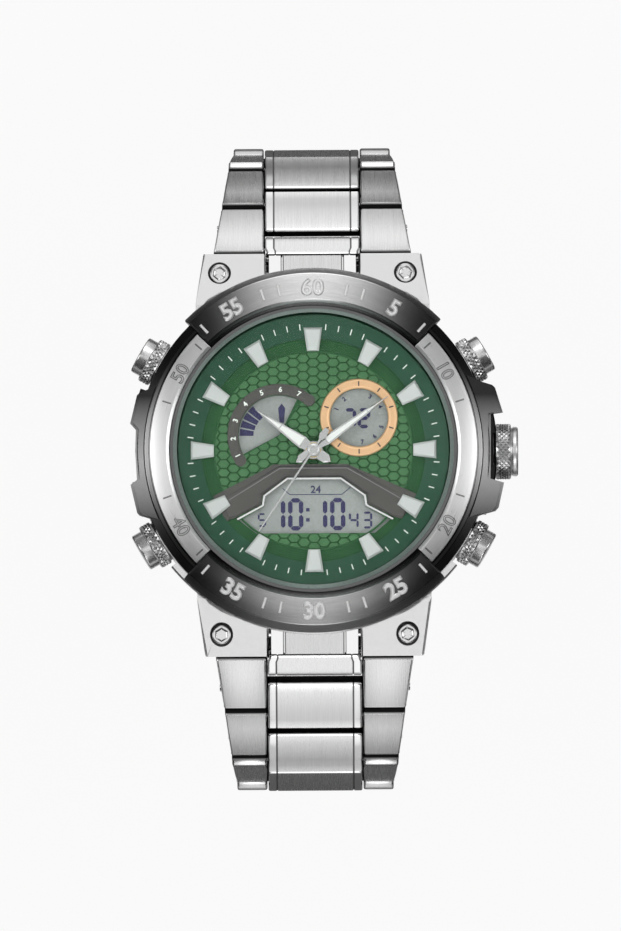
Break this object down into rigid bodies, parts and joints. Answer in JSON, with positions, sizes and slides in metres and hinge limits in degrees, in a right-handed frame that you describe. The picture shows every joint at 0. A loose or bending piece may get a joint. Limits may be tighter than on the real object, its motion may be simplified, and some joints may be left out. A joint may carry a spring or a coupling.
{
  "type": "quartz wristwatch",
  "caption": "Round steel wristwatch with hands, liquid crystal readouts, four pushers, a crown and a three-row link bracelet with a fold-over clasp.",
  "frame": {"origin": "centre of the case back's outer face", "axes": "+Z along the hands' axis towards the crystal, +Y towards 12 o'clock, +X towards the crown at 3 o'clock"},
  "size_m": [0.0486, 0.0812, 0.0537],
  "materials": {
    "steel": "brushed, with polished bevels",
    "polished_steel": "polished",
    "inlay_steel": "satin",
    "gunmetal": "satin dark plating",
    "crystal": "clear",
    "crystal_gasket": "matte",
    "rubber": "matte",
    "dial_green": "metallic lacquer",
    "markers": "faceted, white filled",
    "smoke": "satin",
    "rose_gold": "satin metallic",
    "lcd_glass": "grey readout",
    "holder": "moulded",
    "movement": "stamped",
    "brass": "machined",
    "board": "solder mask",
    "copper": "enamelled wire"
  },
  "bodies": {
    "case": {"case_middle": "steel", "case_back": "steel", "case_back_gasket": "rubber", "case_back_screws": "polished_steel", "lug_screws": "polished_steel", "spring_bars": "polished_steel", "end_links": "steel", "bezel_base": "gunmetal", "bezel_bridges": "gunmetal", "bezel_inlay": "inlay_steel", "crown_guards": "gunmetal", "crystal": "crystal", "crystal_gasket": "crystal_gasket", "rehaut": "dial_green", "dial": "dial_green", "hour_markers": "markers", "bridge_frame": "smoke", "lcd_trim": "polished_steel", "day_ring": "smoke", "gold_ring": "rose_gold", "lcd_panel": "lcd_glass", "movement_holder": "holder", "movement_plate": "movement", "circuit_board": "board", "coil": "copper", "battery": "polished_steel", "piezo_disc": "brass", "crown_tube": "polished_steel", "pusher_tubes": "polished_steel", "pusher_springs": "polished_steel"},
    "hour_hand": {"hour_wheel": "brass", "hour_hand": "markers"},
    "minute_hand": {"cannon_pinion": "brass", "minute_hand": "markers"},
    "second_hand": {"second_hand": "markers"},
    "setting_slider": {"setting_slider": "polished_steel"},
    "crown": {"crown": "polished_steel", "stem": "polished_steel", "crown_gasket": "rubber"},
    "pusher_2": {"pusher_2": "polished_steel"},
    "pusher_4": {"pusher_4": "polished_steel"},
    "pusher_8": {"pusher_8": "polished_steel"},
    "pusher_10": {"pusher_10": "polished_steel"},
    "link_12_1": {"link_12_1": "steel"},
    "link_12_2": {"link_12_2": "steel"},
    "link_12_3": {"link_12_3": "steel"},
    "link_12_4": {"link_12_4": "steel"},
    "link_12_5": {"link_12_5": "steel"},
    "link_12_6": {"link_12_6": "steel"},
    "link_12_7": {"link_12_7": "steel"},
    "link_6_1": {"link_6_1": "steel"},
    "link_6_2": {"link_6_2": "steel"},
    "link_6_3": {"link_6_3": "steel"},
    "link_6_4": {"link_6_4": "steel"},
    "link_6_5": {"link_6_5": "steel"},
    "link_6_6": {"link_6_6": "steel"},
    "link_6_7": {"link_6_7": "steel"},
    "clasp_inner_blade": {"clasp_inner_blade": "steel"},
    "clasp_middle_blade": {"clasp_middle_blade": "steel"},
    "clasp_cover": {"clasp_cover": "steel"}
  },
  "joints": [
    {"name": "second_turn", "type": "hinge", "parent": "case", "child": "second_hand", "pos_m": [0, 0, 0], "axis": [0, 0, -1], "continuous": true},
    {"name": "minute_turn", "type": "hinge", "parent": "case", "child": "minute_hand", "pos_m": [0, 0, 0], "axis": [0, 0, -1], "continuous": true},
    {"name": "hour_turn", "type": "hinge", "parent": "case", "child": "hour_hand", "pos_m": [0, 0, 0], "axis": [0, 0, -1], "continuous": true},
    {"name": "crown_pull", "type": "slide", "parent": "case", "child": "setting_slider", "axis": [1, 0, 0], "range_m": [0, 0.001]},
    {"name": "crown_turn", "type": "hinge", "parent": "setting_slider", "child": "crown", "pos_m": [0, 0, 0.0053], "axis": [1, 0, 0], "continuous": true},
    {"name": "pusher_2_press", "type": "slide", "parent": "case", "child": "pusher_2", "axis": [-0.866, -0.5, 0], "range_m": [0, 0.0008], "stiffness_N_per_m": 1500, "deforming": ["pusher_springs"]},
    {"name": "pusher_4_press", "type": "slide", "parent": "case", "child": "pusher_4", "axis": [-0.866, 0.5, 0], "range_m": [0, 0.0008], "stiffness_N_per_m": 1500, "deforming": ["pusher_springs"]},
    {"name": "pusher_8_press", "type": "slide", "parent": "case", "child": "pusher_8", "axis": [0.866, 0.5, 0], "range_m": [0, 0.0008], "stiffness_N_per_m": 1500, "deforming": ["pusher_springs"]},
    {"name": "pusher_10_press", "type": "slide", "parent": "case", "child": "pusher_10", "axis": [0.866, -0.5, 0], "range_m": [0, 0.0008], "stiffness_N_per_m": 1500, "deforming": ["pusher_springs"]},
    {"name": "link_12_1_hinge", "type": "hinge", "parent": "case", "child": "link_12_1", "pos_m": [0, 0.02583, 0.00055], "axis": [1, 0, 0], "range_deg": [0, 45]},
    {"name": "link_12_2_hinge", "type": "hinge", "parent": "link_12_1", "child": "link_12_2", "pos_m": [0, 0.03196, -0.00459], "axis": [1, 0, 0], "range_deg": [0, 16]},
    {"name": "link_12_3_hinge", "type": "hinge", "parent": "link_12_2", "child": "link_12_3", "pos_m": [0, 0.03699, -0.01081], "axis": [1, 0, 0], "range_deg": [0, 30]},
    {"name": "link_12_4_hinge", "type": "hinge", "parent": "link_12_3", "child": "link_12_4", "pos_m": [0, 0.03893, -0.01857], "axis": [1, 0, 0], "range_deg": [0, 33]},
    {"name": "link_12_5_hinge", "type": "hinge", "parent": "link_12_4", "child": "link_12_5", "pos_m": [0, 0.03699, -0.02633], "axis": [1, 0, 0], "range_deg": [0, 31]},
    {"name": "link_12_6_hinge", "type": "hinge", "parent": "link_12_5", "child": "link_12_6", "pos_m": [0, 0.03185, -0.03246], "axis": [1, 0, 0], "range_deg": [0, 26]},
    {"name": "link_12_7_hinge", "type": "hinge", "parent": "link_12_6", "child": "link_12_7", "pos_m": [0, 0.02485, -0.03634], "axis": [1, 0, 0], "range_deg": [0, 22]},
    {"name": "link_6_1_hinge", "type": "hinge", "parent": "case", "child": "link_6_1", "pos_m": [0, -0.02583, 0.00055], "axis": [-1, 0, 0], "range_deg": [0, 45]},
    {"name": "link_6_2_hinge", "type": "hinge", "parent": "link_6_1", "child": "link_6_2", "pos_m": [0, -0.03196, -0.00459], "axis": [-1, 0, 0], "range_deg": [0, 16]},
    {"name": "link_6_3_hinge", "type": "hinge", "parent": "link_6_2", "child": "link_6_3", "pos_m": [0, -0.03699, -0.01081], "axis": [-1, 0, 0], "range_deg": [0, 30]},
    {"name": "link_6_4_hinge", "type": "hinge", "parent": "link_6_3", "child": "link_6_4", "pos_m": [0, -0.03893, -0.01857], "axis": [-1, 0, 0], "range_deg": [0, 33]},
    {"name": "link_6_5_hinge", "type": "hinge", "parent": "link_6_4", "child": "link_6_5", "pos_m": [0, -0.03699, -0.02633], "axis": [-1, 0, 0], "range_deg": [0, 31]},
    {"name": "link_6_6_hinge", "type": "hinge", "parent": "link_6_5", "child": "link_6_6", "pos_m": [0, -0.03185, -0.03246], "axis": [-1, 0, 0], "range_deg": [0, 26]},
    {"name": "link_6_7_hinge", "type": "hinge", "parent": "link_6_6", "child": "link_6_7", "pos_m": [0, -0.02485, -0.03634], "axis": [-1, 0, 0], "range_deg": [0, 22]},
    {"name": "clasp_end_hinge", "type": "hinge", "parent": "link_6_7", "child": "clasp_inner_blade", "pos_m": [0, -0.01703, -0.038], "axis": [-1, 0, 0], "range_deg": [0, 20]},
    {"name": "clasp_fold_hinge", "type": "hinge", "parent": "clasp_inner_blade", "child": "clasp_middle_blade", "pos_m": [0, 0.01231, -0.03824], "axis": [1, 0, 0], "range_deg": [0, 100]},
    {"name": "clasp_cover_hinge", "type": "hinge", "parent": "clasp_middle_blade", "child": "clasp_cover", "pos_m": [0, -0.01288, -0.03915], "axis": [-1, 0, 0], "range_deg": [0, 100]}
  ],
  "couplings": [
    {"joint": "minute_turn", "follows": "second_turn", "ratio": 0.016667},
    {"joint": "hour_turn", "follows": "second_turn", "ratio": 0.0013889}
  ]
}
